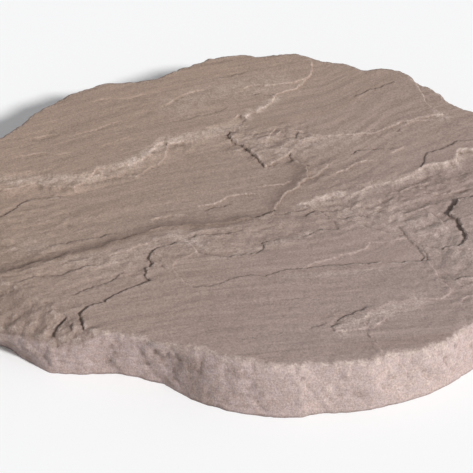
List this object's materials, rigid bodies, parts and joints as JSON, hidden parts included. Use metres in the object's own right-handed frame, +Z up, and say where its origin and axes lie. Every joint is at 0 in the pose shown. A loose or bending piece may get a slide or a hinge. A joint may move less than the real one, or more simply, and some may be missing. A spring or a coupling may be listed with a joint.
{
  "type": "flagstone",
  "caption": "Irregular riven sandstone paving slab with broken edges and a top split into thin bedding steps.",
  "frame": {"origin": "middle of the stone's footprint, on the ground", "axes": "+Z up through the thickness, +X along the stone's length"},
  "size_m": [0.6, 0.47, 0.048],
  "materials": {
    "stone": "riven, dry, unsealed"
  },
  "bodies": {
    "root": {"flagstone": "stone"}
  },
  "joints": []
}
